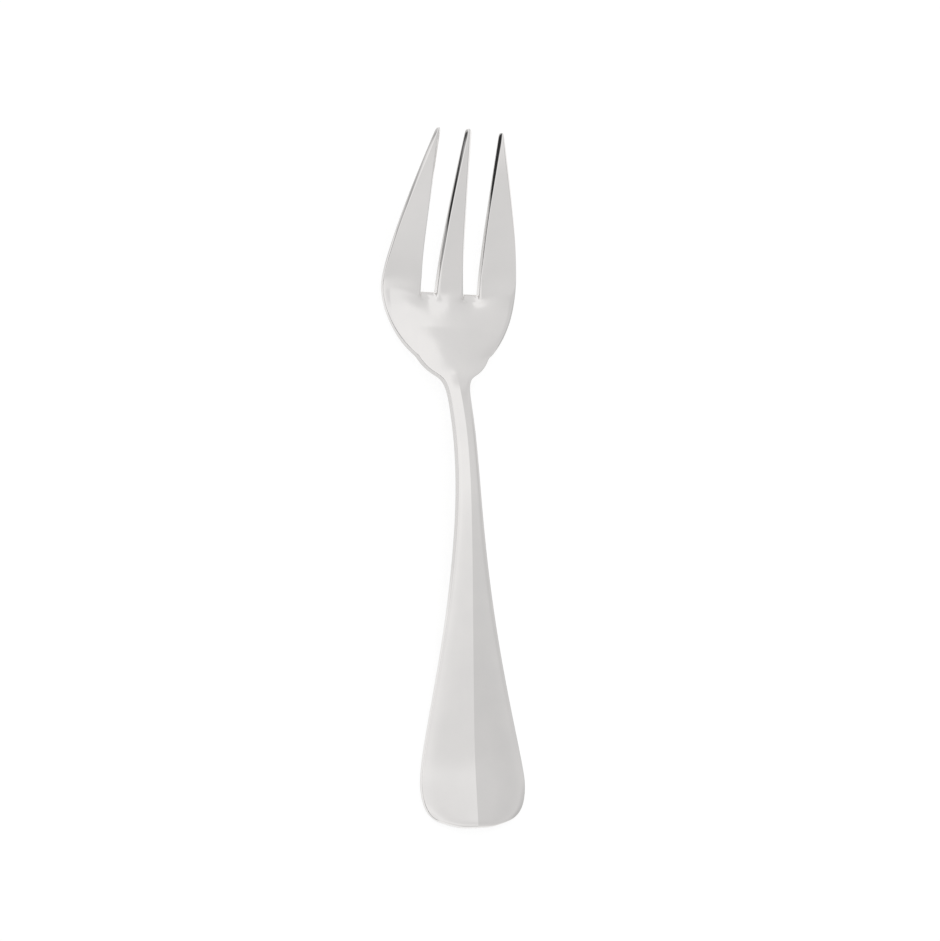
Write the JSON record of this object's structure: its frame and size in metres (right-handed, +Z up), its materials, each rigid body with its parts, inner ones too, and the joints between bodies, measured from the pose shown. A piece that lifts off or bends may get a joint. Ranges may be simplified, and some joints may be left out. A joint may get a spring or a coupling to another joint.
{
  "type": "fish fork",
  "caption": "Table fork for eating fish: pointed tapering tines on a broad head with lobed shoulders, a slim arched stem and a flat flared handle with a middle ridge.",
  "frame": {"origin": "on the table surface, at the middle of the fork's length and width", "axes": "+X across the fork, +Y along it from the handle end to the tine tips, +Z up from the table, with the hollow of the tines facing up"},
  "size_m": [0.0364, 0.1706, 0.0199],
  "materials": {
    "polished_steel": "mirror polished, with fine wiping marks"
  },
  "bodies": {
    "root": {"handle": "polished_steel", "shank": "polished_steel", "palm": "polished_steel", "left_tine": "polished_steel", "middle_tine": "polished_steel", "right_tine": "polished_steel"}
  },
  "joints": []
}
